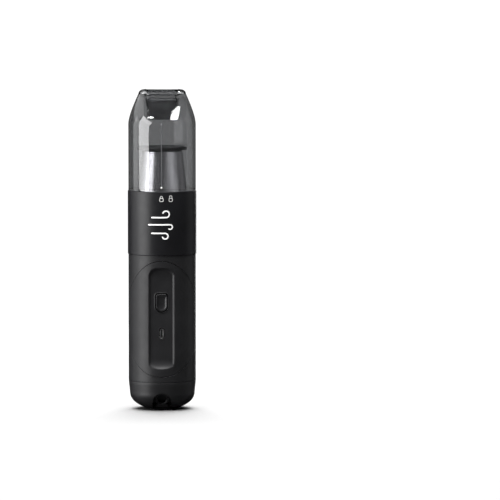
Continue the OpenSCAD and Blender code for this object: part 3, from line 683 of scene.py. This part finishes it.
def front_cover():
    hx = spaced([(0, 4.2, 0.28), (4.2, 7.6, 0.26), (7.6, 9.7, 0.6), (9.7, 12.2, 0.24), (12.2, 20, 0.8)])
    hx = [math.degrees(math.asin(x / R)) for x in hx]
    hx += [hx[-1] + (90 - hx[-1]) * i / 22 for i in range(1, 23)]
    angles = [-a for a in reversed(hx[1:])] + hx
    zs = spaced([(COVER_Z[0], 36, 0.8), (36, 52, 0.45), (52, 63.8, 1.3), (63.8, 79, 0.3), (79, 88.5, 1.0),
                 (88.5, 110.5, 0.3), (110.5, 121, 1.3), (121, 134, 0.45), (134, COVER_Z[1], 0.7)])
    verts, faces = [], []
    na = len(angles)
    limit = 90 - 0.25
    for z in zs:
        zz = min(max(z, COVER_Z[0] + 0.13), COVER_Z[1] - 0.13)
        amax = min(limit, math.degrees(math.asin(min(1, cover_half(zz, -GAP) / R))))
        # keep the middle columns where they are and gather the outer ones at the outline
        for a in angles:
            keep = min(abs(a), amax)
            if abs(a) > amax * 0.82 and amax < limit - 0.01:
                t = (abs(a) - amax * 0.82) / (90 - amax * 0.82)
                keep = amax * (0.82 + 0.18 * t)
            elif amax >= limit - 0.01:
                keep = abs(a) * limit / 90
            ang = math.copysign(keep, a)
            x = R * math.sin(math.radians(ang))
            y = -R * math.cos(math.radians(ang))
            verts.append((x, y + cover_depth(x, zz), zz))
    for i in range(len(zs) - 1):
        for j in range(na - 1):
            x, y, z = [sum(verts[q][c] for q in (i * na + j, (i + 1) * na + j + 1)) / 2 for c in (0, 1, 2)]
            if button_distance(x, z) < -0.3 or usb_distance(x, z) < -0.4:
                continue        # the key and the socket show through real openings
            faces.append((i * na + j, i * na + j + 1, (i + 1) * na + j + 1, (i + 1) * na + j))
    ob = build("FrontCover", verts, faces, SHELL, "housing", 60, outward=True)
    thicken(ob, 1.5, 0.5)
    settle(ob, 60)
    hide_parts("front_cover")


def power_button():
    """Concave key with a raised rim, deeper towards its lower end."""
    n = 96
    outline = []
    hw, hh = BTN_W / 2 - 0.15, BTN_H / 2 - 0.15
    for j in range(n):
        a = 2 * math.pi * j / n
        c, s = math.cos(a), math.sin(a)
        # march out to the outline along this direction
        lo, hi = 0.0, 14.0
        for _ in range(30):
            mid = (lo + hi) / 2
            r = BTN_CORNER if s > 0 else hw - 0.01
            inside = box_distance(mid * c, mid * s, 0, 0, hw, hh, r) < 0
            lo, hi = (mid, hi) if inside else (lo, mid)
        outline.append((lo * c, lo * s))
    levels = [(1.0, 26.15), (1.0, 27.2), (0.985, 27.62), (0.955, 27.8), (0.90, 27.84), (0.84, 27.78),
              (0.76, 27.5), (0.68, 27.2), (0.56, 27.0), (0.4, 26.9), (0.2, 26.86)]
    verts, faces = [], []
    for s, y in levels:
        for x, z in outline:
            dip = 0.0
            if s < 0.85:
                dip = 0.3 * (1 - s) * (1.0 if z < 0 else 0.4)      # deeper towards the foot
            verts.append((x * s, -y + dip, BTN_Z + z * s))
    faces = bands(n, len(levels), closed=False)
    verts.append((0, -26.7, BTN_Z))
    last = (len(levels) - 1) * n
    faces += [(last + j, last + (j + 1) % n, len(verts) - 1) for j in range(n)]
    faces.append(tuple(range(n)))
    ob = build("PowerButton", verts, faces, GLOSS, "button", 50)
    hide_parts("power_button")


# ---------------------------------------------------------------- collar

def collar():
    ro, ri, z0, z1 = RC - 0.03, RC - 2.6, COLLAR_SEAM + 0.18, CUP_SEAM - 0.02
    wall, ledge_r, ledge_z0, ledge_z1 = 2.2, 22.5, 193.5, 196.0
    outline = rounded([
        (ri, z1), (ro, z1), (ro, z0), (ro - wall, z0), (ro - wall, z0 + 3), (ro - wall, ledge_z0),
        (ledge_r, ledge_z0), (ledge_r, ledge_z1), (ri, ledge_z1)],
        [0.3, 0.5, 0.45, 0.2, 0, 0.2, 0.2, 0.3, 0.2], 5)
    ob = lathe("Collar", outline, COLLAR, "housing", 256)
    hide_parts("collar")


# ---------------------------------------------------------------- dust cup

MOUTH_W, MOUTH_D, MOUTH_Y = 43.6, 19.0, 8.5
NOSE_Z, NOSE_PULL = 262.0, 270.0
RIM_W, RIM_H = 5.5, 4.0
DUCT_TOP, DUCT_END, DUCT_END_Z = (29.4, 13.6), (23.4, 12.0), TOP - 31
DUCT_R, DUCT_WALL = 2.5, 1.6
SPIGOT_R, SPIGOT_IN, SPIGOT_Z = 28.8, 26.7, 196.7
PIVOT = (MOUTH_Y - 10.1, TOP - 10.8)
FLAP_TILT = math.radians(46)
FLAP_L, FLAP_HALF, FLAP_T = 25.0, 12.45, 0.42


def bend(a, pull, b, t):
    return (1 - t) * (1 - t) * a + 2 * t * (1 - t) * pull + t * t * b


def gather(c, k=0.42):
    """Eases a straight run between two rounded ends: -1 .. 1."""
    return math.sin(math.pi / 2 * max(-1.0, min(1.0, c / k)))


def oblong(w, y0, y1, z, n=160):
    """Ring of an oblong with round ends; becomes a circle when it is as deep as it is wide."""
    r = (y1 - y0) / 2
    k = w - r
    yc = (y0 + y1) / 2
    out = []
    for j in range(n):
        a = 2 * math.pi * j / n
        out.append((k * gather(math.cos(a)) + r * math.cos(a), yc + r * math.sin(a), z))
    return out


def frame_ring(hx, hy, r, z, n=160, slant=None):
    """Ring of a rounded rectangle about the duct's axis; slant(y) gives its height instead of z."""
    out = []
    for j in range(n):
        a = 2 * math.pi * j / n
        x = (hx - r) * gather(math.cos(a), 0.3) + r * math.cos(a)
        y = MOUTH_Y + (hy - r) * gather(math.sin(a), 0.3) + r * math.sin(a)
        out.append((x, y, slant(y) if slant else z))
    return out


def nose_rings(inset, ts):
    r = R - inset
    w = MOUTH_W / 2 - inset
    y0, y1 = MOUTH_Y - MOUTH_D / 2 + inset, MOUTH_Y + MOUTH_D / 2 - inset
    z1 = TOP - RIM_H - inset
    out = []
    for t in ts:
        out.append(oblong(bend(r, r, w, t), bend(-r, -r + 2, y0, t), bend(r, r, y1, t),
                          bend(NOSE_Z, NOSE_PULL, z1, t)))
    return out


def duct_half(z, grow):
    t = (z - DUCT_END_Z) / (TOP + 1 - DUCT_END_Z)
    return [(DUCT_END[i] + (DUCT_TOP[i] - DUCT_END[i]) * t) / 2 + grow for i in (0, 1)]


def dust_cup():
    rows = []
    z0 = CUP_SEAM + 0.15
    # outside, from the seam up
    rows += [circle_ring(SPIGOT_R, z0), circle_ring(R - 0.55, z0), circle_ring(R - 0.2, z0 + 0.12),
             circle_ring(R - 0.02, z0 + 0.5)]
    rows += [circle_ring(R - 0.02, z) for z in (204, 212, 222, 232, 242, 250, 256)]
    rows += nose_rings(0.0, [i / 22 for i in range(23)])
    # rim
    w, y0, y1 = MOUTH_W / 2, MOUTH_Y - MOUTH_D / 2, MOUTH_Y + MOUTH_D / 2
    for a in (10, 20, 30, 40, 50, 58, 64):
        s = RIM_W * (1 - math.cos(math.radians(a)))
        rows.append(oblong(w - s, y0 + s, y1 - s, TOP - RIM_H + RIM_H * math.sin(math.radians(a))))

    def rim_height(x, y):
        """Top of the rounded rim at a point of the mouth."""
        k = w - MOUTH_D / 2
        dx = max(abs(x) - k, 0)
        d = MOUTH_D / 2 - math.hypot(dx, y - MOUTH_Y)
        c = 1 - max(0.0, min(d, RIM_W)) / RIM_W
        return TOP - RIM_H + RIM_H * math.sqrt(max(0.0, 1 - c * c))

    hx, hy = duct_half(TOP, 0.0)
    for grow, drop in ((0.75, 0.0), (0.35, 0.03), (0.1, 0.18), (0.0, 0.5)):
        ring = frame_ring(hx + grow, hy + grow, DUCT_R + grow, TOP)
        rows.append([(x, y, rim_height(x, y) - drop) for x, y, z in ring])
    # down the inside of the duct to its slanted end, and back up the outside
    for z in (290, 285, 280):
        ring = frame_ring(*duct_half(z, 0.0), DUCT_R, z)
        rows.append([(x, y, max(z, end_height(y) + 0.25 + (z - 280) * 0.3)) for x, y, z in ring])
    low = 272.0
    for grow, lift in ((0.0, 0.15), (0.25, 0.0), (DUCT_WALL - 0.2, 0.0), (DUCT_WALL, 0.15)):
        rows.append(frame_ring(*duct_half(low, grow), DUCT_R + grow, 0,
                               slant=lambda y, d=lift: end_height(y) + d))
    for z in (282, 284.5, 286.2):
        ring = frame_ring(*duct_half(z, DUCT_WALL), DUCT_R + DUCT_WALL, z)
        rows.append([(x, y, max(z, end_height(y) + 0.4 + (z - 282) * 0.3)) for x, y, z in ring])
    # the nose's inside, down to the spigot
    inner = nose_rings(CUP_WALL, [i / 20 for i in range(21)])
    rows += [inner[i] for i in (19, 18, 17, 16, 14, 12, 10, 8, 6, 4, 2, 0)]
    rows += [circle_ring(R - CUP_WALL, z) for z in (250, 235, 220, 206, 203.6)]
    rows += [circle_ring(r, z) for r, z in (
        (SPIGOT_IN + 0.05, 203.3), (SPIGOT_IN + 0.02, 202.8), (SPIGOT_IN, SPIGOT_Z + 0.3),
        (SPIGOT_IN + 0.3, SPIGOT_Z), (SPIGOT_R - 0.3, SPIGOT_Z), (SPIGOT_R - 0.02, SPIGOT_Z + 0.3),
        (SPIGOT_R, z0 - 0.3))]
    verts, faces = rings(rows, closed_rows=True)
    # ears for the flap's pin
    for side in (-1, 1):
        verts_b, faces_b = block(side * 12.75, 0.65, PIVOT[0] + 2.2, 3.4, PIVOT[1] + 1.2, 2.5, 0.25)
        off = len(verts)
        verts += verts_b
        faces += [tuple(off + i for i in f) for f in faces_b]
    ob = build("DustCup", verts, faces, CLEAR, "cup", 38)
    # the rib's light grey colour is a painted highlight down the cup's front
    rib_v, rib_f = block(0, 0.3, -(R - CUP_WALL) + 0.36, 0.3, 235, 28.5, 0.1)
    build("CupRib", rib_v, rib_f, RIB_PAINTED_HIGHLIGHT, "cup", 38)
    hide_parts("dust_cup")


def end_height(y):
    """Height of the duct's slanted end at y."""
    return PIVOT[1] - (y - PIVOT[0]) * math.tan(FLAP_TILT) + 0.65 / math.cos(FLAP_TILT)


def block(cx, hx, cy, hy, cz, hz, e):
    """Box with chamfered vertical and horizontal edges."""
    verts = []
    levels = [(-hz, e), (-hz + e, 0), (hz - e, 0), (hz, e)]
    for z, s in levels:
        a, b = hx - s, hy - s
        c = min(e, a * 0.5, b * 0.5)
        for x, y in ((-a + c, -b), (a - c, -b), (a, -b + c), (a, b - c), (a - c, b), (-a + c, b), (-a, b - c),
                     (-a, -b + c)):
            verts.append((cx + x, cy + y, cz + z))
    return verts, bands(8, 4, closed=False) + [tuple(range(8)), tuple(range(24, 32))]


def inlet_flap():
    """Moulded rubber flap with a thicker lip along its free end, on a knuckle."""
    ca, sa = math.cos(FLAP_TILT), math.sin(FLAP_TILT)

    def place(x, s, w):
        """s runs from the hinge along the flap, w out of its upper face."""
        return (x, PIVOT[0] + s * ca + w * sa, PIVOT[1] - s * sa + w * ca)

    verts, faces = [], []
    ns, nx = 26, 28
    for side in (1, -1):
        for i in range(ns + 1):
            s = 2.4 + (FLAP_L - 2.4 - 0.1) * i / ns
            for j in range(nx + 1):
                u = -1 + 2 * j / nx
                half = FLAP_HALF
                if s > FLAP_L - 1.8:
                    half -= 1.6 * (1 - math.sqrt(max(0, 1 - ((s - FLAP_L + 1.8) / 1.75) ** 2)))
                x = half * u
                t = FLAP_T
                if side < 0:
                    t += 0.08 * smooth01((s - 21.6) / 1.2)
                edge = min((1 - abs(u)) * half, FLAP_L - s, s - 2.2)
                t *= math.sqrt(max(0.02, 1 - max(0, 1 - edge / 0.5) ** 2))
                verts.append(place(x, s, side * t))
    m = nx + 1
    half_n = (ns + 1) * m
    for i in range(ns):
        for j in range(nx):
            a = i * m + j
            faces.append((a, a + 1, a + m + 1, a + m))
            faces.append((half_n + a, half_n + a + m, half_n + a + m + 1, half_n + a + 1))
    loop = list(range(m)) + [i * m + nx for i in range(1, ns + 1)]
    loop += [ns * m + j for j in range(nx - 1, -1, -1)] + [i * m for i in range(ns - 1, 0, -1)]
    q = len(loop)
    for i in range(q):
        a, b = loop[i], loop[(i + 1) % q]
        faces.append((a, half_n + a, half_n + b, b))
    base = len(verts)
    prof = [(-11.8, 0.66), (-11.8, 1.05), (-11.5, 1.28), (11.5, 1.28), (11.8, 1.05), (11.8, 0.66)]
    for x, r in prof:
        for j in range(28):
            a = 2 * math.pi * j / 28
            verts.append(place(x, r * math.cos(a), r * math.sin(a)))
    faces += bands(28, 6, base)
    base = len(verts)
    web = [(0.9, -0.4), (3.2, -0.4), (3.2, 0.4), (0.9, 0.4)]
    for x in (-11.6, 11.6):
        verts += [place(x, s, w) for s, w in web]
    faces += prism_faces(4, base)
    ob = build("InletFlap", verts, faces, FLAP_RUBBER, "flap", 40)
    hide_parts("inlet_flap")


# ---------------------------------------------------------------- filter

def filter_parts():
    z0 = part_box("filter_screen")[0].z / MM
    z1 = FILTER_CAP[0]
    r0, r1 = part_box("filter_screen")[1].x / MM, 18.8
    prof = [(r0 - 0.5, z0), (r0, z0), (r0 - 0.02, z0 + 0.6)]
    prof += [(r0 + (r1 - r0) * i / 12, z0 + (z1 - z0) * i / 12) for i in range(1, 12)]
    prof += [(r1, z1), (r1 - 0.5, z1)]
    ob = lathe("FilterScreen", prof, SCREEN, "filter", 192)
    me = ob.data
    uv = me.uv_layers.new(name="UVMap")
    for poly in me.polygons:
        angs = []
        for li in poly.loop_indices:
            p = me.vertices[me.loops[li].vertex_index].co
            angs.append(math.atan2(p.y, p.x) / (2 * math.pi))
        wrap = max(angs) - min(angs) > 0.5
        for li, a in zip(poly.loop_indices, angs):
            p = me.vertices[me.loops[li].vertex_index].co
            uv.data[li].uv = (a + 1 if wrap and a < 0 else a, p.z / MM / 60.0)
    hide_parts("filter_screen")
    c0, c1 = FILTER_CAP
    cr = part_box("filter_cap")[1].x / MM
    skirt = c0 + 1.2
    outline = rounded([
        (0.01, skirt), (r1 - 1.4, skirt), (r1 - 1.4, c0), (r1 - 0.7, c0), (r1 - 0.7, skirt), (cr - 1.2, skirt),
        (cr, skirt + 0.6), (cr, c1 - 0.9), (cr - 0.6, c1), (17.2, c1), (16.4, c1 - 0.7), (3.4, c1 - 0.7),
        (2.8, c1 - 0.1), (0.01, c1 - 0.1)],
        [0, 0.1, 0.1, 0.1, 0.1, 0.4, 0.3, 0.35, 0.3, 0.3, 0.3, 0.3, 0.2, 0], 4)
    cap = lathe("FilterCap", outline, FILTER_BLACK, "filter", 128)
    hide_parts("filter_cap")


# ---------------------------------------------------------------- printed marks

def wrap_point(u, z, r):
    """u is measured round the tube from the front, in millimetres."""
    a = u / r
    return (r * math.sin(a), -r * math.cos(a), z)


class Print:
    """Flat shapes laid round a tube as one thin mesh."""

    def __init__(self, r):
        self.r, self.verts, self.faces = r, [], []

    def stroke(self, points, width, closed=False):
        """Band along a line, with mitred joints and round ends."""
        pts = [Vector(p) for p in points]
        n = len(pts)
        left, right = [], []
        for i, p in enumerate(pts):
            a = pts[i - 1] if (i > 0 or closed) else p
            b = pts[(i + 1) % n] if (i < n - 1 or closed) else p
            d = (b - a)
            if d.length < 1e-9:
                d = Vector((1, 0))
            d.normalize()
            nrm = Vector((-d.y, d.x)) * width / 2
            left.append(p + nrm)
            right.append(p - nrm)
        base = len(self.verts)
        for q, s in zip(left, right):
            self.verts += [wrap_point(q.x, q.y, self.r), wrap_point(s.x, s.y, self.r)]
        for i in range(n if closed else n - 1):
            k = (i + 1) % n
            self.faces.append((base + 2 * i, base + 2 * i + 1, base + 2 * k + 1, base + 2 * k))
        if not closed:
            for p in (pts[0], pts[-1]):
                self.disc(p.x, p.y, width / 2, 10)

    def disc(self, u, z, radius, n=24):
        base = len(self.verts)
        self.verts.append(wrap_point(u, z, self.r))
        for j in range(n):
            a = 2 * math.pi * j / n
            self.verts.append(wrap_point(u + radius * math.cos(a), z + radius * math.sin(a), self.r))
        self.faces += [(base, base + 1 + j, base + 1 + (j + 1) % n) for j in range(n)]

    def padlock(self, u, z, open_lock):
        """Outlined padlock; the open one has its shackle lifted and swung clear."""
        w, h, line = 3.2, 2.9, 0.36
        low = z - 2.55
        foot = low + h
        body = rounded([(u - w / 2, low), (u + w / 2, low), (u + w / 2, foot), (u - w / 2, foot)], 0.8, 4)
        self.stroke(body, line, True)
        lift = 0.55 if open_lock else 0.0
        bow = [(u + 1.1 * math.cos(math.radians(180 - 15 * i)),
                foot + 0.8 + lift + 1.1 * math.sin(math.radians(180 - 15 * i))) for i in range(13)]
        start = foot + 0.9 if open_lock else foot
        self.stroke([(u - 1.1, start)] + bow + [(u + 1.1, foot)], line)

    def make(self, name, mat, body, thick=0.04):
        ob = build(name, self.verts, self.faces, mat, body, 60, outward=True)
        m = ob.modifiers.new("ink", "SOLIDIFY")
        m.thickness = thick * MM
        m.offset = -1
        settle(ob, 60)


def prints():
    marks = Print(RC - 0.005)
    marks.padlock(0.0, 195.2, False)
    marks.padlock(8.6, 195.2, True)
    # three airflow lines curling to the right, a generic sign for suction
    for z, x0, x1, curl in ((178.0, -9.0, 4.2, 3.0), (171.4, -12.0, 8.0, 0.0), (163.6, -9.0, 3.4, -2.6)):
        pts = [(x0 + (x1 - x0) * i / 10, z) for i in range(11)]
        if curl:
            r = abs(curl)
            sgn = 1 if curl > 0 else -1
            for i in range(1, 17):
                a = math.radians(-90 + 250 * i / 16)
                pts.append((x1 + r * math.cos(a), z + sgn * (r + r * math.sin(a))))
        else:
            for i in range(1, 13):
                a = math.radians(90 - 215 * i / 12)
                pts.append((x1 + 2.1 * math.cos(a), z - 2.1 + 2.1 * math.sin(a)))
        marks.stroke(pts, 1.25)
    marks.make("CollarMarks", WHITE, "housing")
    dot = Print(R + 0.03)
    dot.disc(0, 205.3, 0.85, 28)
    dot.make("AlignmentDot", WHITE, "cup")


base_cap()
hanging_loop()
rear_shell()
front_cover()
power_button()
collar()
dust_cup()
inlet_flap()
filter_parts()
prints()


# ---------------------------------------------------------------- stage, light and camera

def paper_white():
    mat, nt, bsdf = nodes_of("studio_paper")
    fibre = noise(nt, 400, 4)
    nt.links.new(ramp(nt, fibre.outputs["Fac"], (0.90, 0.90, 0.90), (0.93, 0.93, 0.93)).outputs["Color"],
                 bsdf.inputs["Base Color"])
    bsdf.inputs["Roughness"].default_value = 0.9
    bsdf.inputs["Specular IOR Level"].default_value = 0.1
    return mat


PAPER_WHITE = paper_white()


def panel(name, corners, mat):
    me = bpy.data.meshes.new(name)
    me.from_pydata(corners, [], [(0, 1, 2, 3)])
    me.materials.append(mat)
    ob = bpy.data.objects.new(name, me)
    ob.visible_glossy = False
    bpy.context.scene.collection.objects.link(ob)
    return ob


def studio():
    """Pale floor, lit apart from the object so that only its own soft shadow falls there."""
    floor = panel("Floor", [(-4, -4, 0), (4, -4, 0), (4, 0.9, 0), (-4, 0.9, 0)], PAPER_WHITE)
    cup, screen = bpy.data.objects["DustCup"], bpy.data.objects["FilterScreen"]
    reach = {name: ([floor], "INCLUDE") for name in ("TopBox", "FloorFill")}
    reach.update({name: ([floor, cup], "EXCLUDE") for name in ("EdgeBox", "RimBox", "BackBox")})
    reach["FilterCard"] = ([screen], "INCLUDE")
    for ob in [o for o in bpy.data.objects if o.type == "LIGHT"]:
        targets, state = reach.get(ob.name, ([floor], "EXCLUDE"))
        group = bpy.data.collections.new(ob.name + "Reach")
        ob.light_linking.receiver_collection = group
        for target in targets:
            group.objects.link(target)
        for entry in group.collection_objects:
            entry.light_linking.link_state = state


def softbox(name, azimuth, elevation, distance, width, height, power, aim=(0, 0, 0.16)):
    """Area light at an azimuth measured from the front, positive to the right."""
    light = bpy.data.lights.new(name, "AREA")
    light.shape = "RECTANGLE"
    light.size, light.size_y = width, height
    light.energy = power
    a, e = math.radians(azimuth), math.radians(elevation)
    d = Vector((math.sin(a) * math.cos(e), -math.cos(a) * math.cos(e), math.sin(e)))
    ob = bpy.data.objects.new(name, light)
    ob.location = Vector(aim) + d * distance
    ob.rotation_euler = d.to_track_quat("Z", "Y").to_euler()
    bpy.context.scene.collection.objects.link(ob)
    return ob


def overhead(name, toward_light, distance, width, height, power, turn):
    """Area light above the mouth in a given direction, turned in its own plane by an angle."""
    ob = softbox(name, 0, 0, 1, width, height, power)
    d = Vector(toward_light).normalized()
    ob.location = Vector((0, -0.02, 0.273)) + d * distance
    turned = d.to_track_quat("Z", "Y").to_matrix() @ Matrix.Rotation(math.radians(turn), 3, "Z")
    ob.rotation_euler = turned.to_euler()
    return ob


softbox("LeftBox", -65, 16, 1.3, 0.97, 2.2, 50)
softbox("LeftSide", -101, 6, 1.3, 0.6, 1.5, 4)
softbox("RightSide", 112, 10, 1.4, 0.9, 1.6, 1.2)
softbox("BackBox", 170, 16, 1.5, 0.7, 1.6, 9)
softbox("LeftHigh", -124, 40, 1.2, 0.9, 0.8, 2.2, aim=(0, 0, 0.27))
softbox("FilterCard", 52, 8, 1.5, 1.1, 0.6, 55)
overhead("WindowBox", (0.41, -0.08, 0.91), 0.8, 0.33, 0.30, 7, 30)
overhead("StreakStrip", (-0.38, -0.146, 0.913), 0.8, 0.05, 0.22, 1.2, -25)
overhead("EdgeBox", (0, -0.26, 0.966), 0.9, 0.5, 0.5, 14, 0)
softbox("RimBox", 180, 60, 2.4, 1.8, 1.8, 8, aim=(0, 0.2, 0))
softbox("TopBox", 180, 60, 2.4, 1.8, 1.8, 44, aim=(0, 0.2, 0))
softbox("FloorFill", 0, 90, 2.4, 3.0, 3.0, 70, aim=(0, -0.3, 0))
studio()

world = bpy.data.worlds.new("Studio")
world.use_nodes = True
tree = world.node_tree
surround = tree.nodes["Background"]
surround.inputs["Strength"].default_value = 0.03
path = tree.nodes.new("ShaderNodeLightPath")
last = surround
# a reflection met after the cup's wall sees a darker room
bounced = tree.nodes.new("ShaderNodeMath")
bounced.operation = "MINIMUM"
bounced.inputs[1].default_value = 1.0
tree.links.new(path.outputs["Glossy Depth"], bounced.inputs[0])
dimmed = tree.nodes.new("ShaderNodeMath")
dimmed.operation = "MULTIPLY_ADD"
dimmed.inputs[1].default_value = -0.45
dimmed.inputs[2].default_value = 0.78
tree.links.new(bounced.outputs[0], dimmed.inputs[0])
# the lens sees white paper all round, the clear cup is read against a dimmer one, and the room itself is dark
for ray, level in (("Is Transmission Ray", 0.78), ("Is Camera Ray", 1.1)):
    paper = tree.nodes.new("ShaderNodeBackground")
    paper.inputs["Color"].default_value = (1, 1, 1, 1)
    paper.inputs["Strength"].default_value = level
    if ray == "Is Transmission Ray":
        tree.links.new(dimmed.outputs[0], paper.inputs["Strength"])
    pick = tree.nodes.new("ShaderNodeMixShader")
    tree.links.new(path.outputs[ray], pick.inputs[0])
    tree.links.new(last.outputs[0], pick.inputs[1])
    tree.links.new(paper.outputs[0], pick.inputs[2])
    last = pick
tree.links.new(last.outputs[0], tree.nodes["World Output"].inputs["Surface"])
scene = bpy.context.scene
scene.world = world
scene.view_settings.view_transform = "Standard"
scene.view_settings.look = "None"

camera_data = bpy.data.cameras.new("Camera")
camera_data.sensor_width = 36
camera_data.lens = 313
camera_data.clip_end = 50
camera_data.dof.use_dof = False
camera = bpy.data.objects.new("Camera", camera_data)
elevation = math.radians(4.0)
aim = Vector((0.0808, 0, 0.1462))
toward = Vector((0, -math.cos(elevation), math.sin(elevation)))
camera.location = aim + toward * 4.0
camera.rotation_euler = toward.to_track_quat("Z", "Y").to_euler()
scene.collection.objects.link(camera)
scene.camera = camera

bpy.context.view_layer.update()
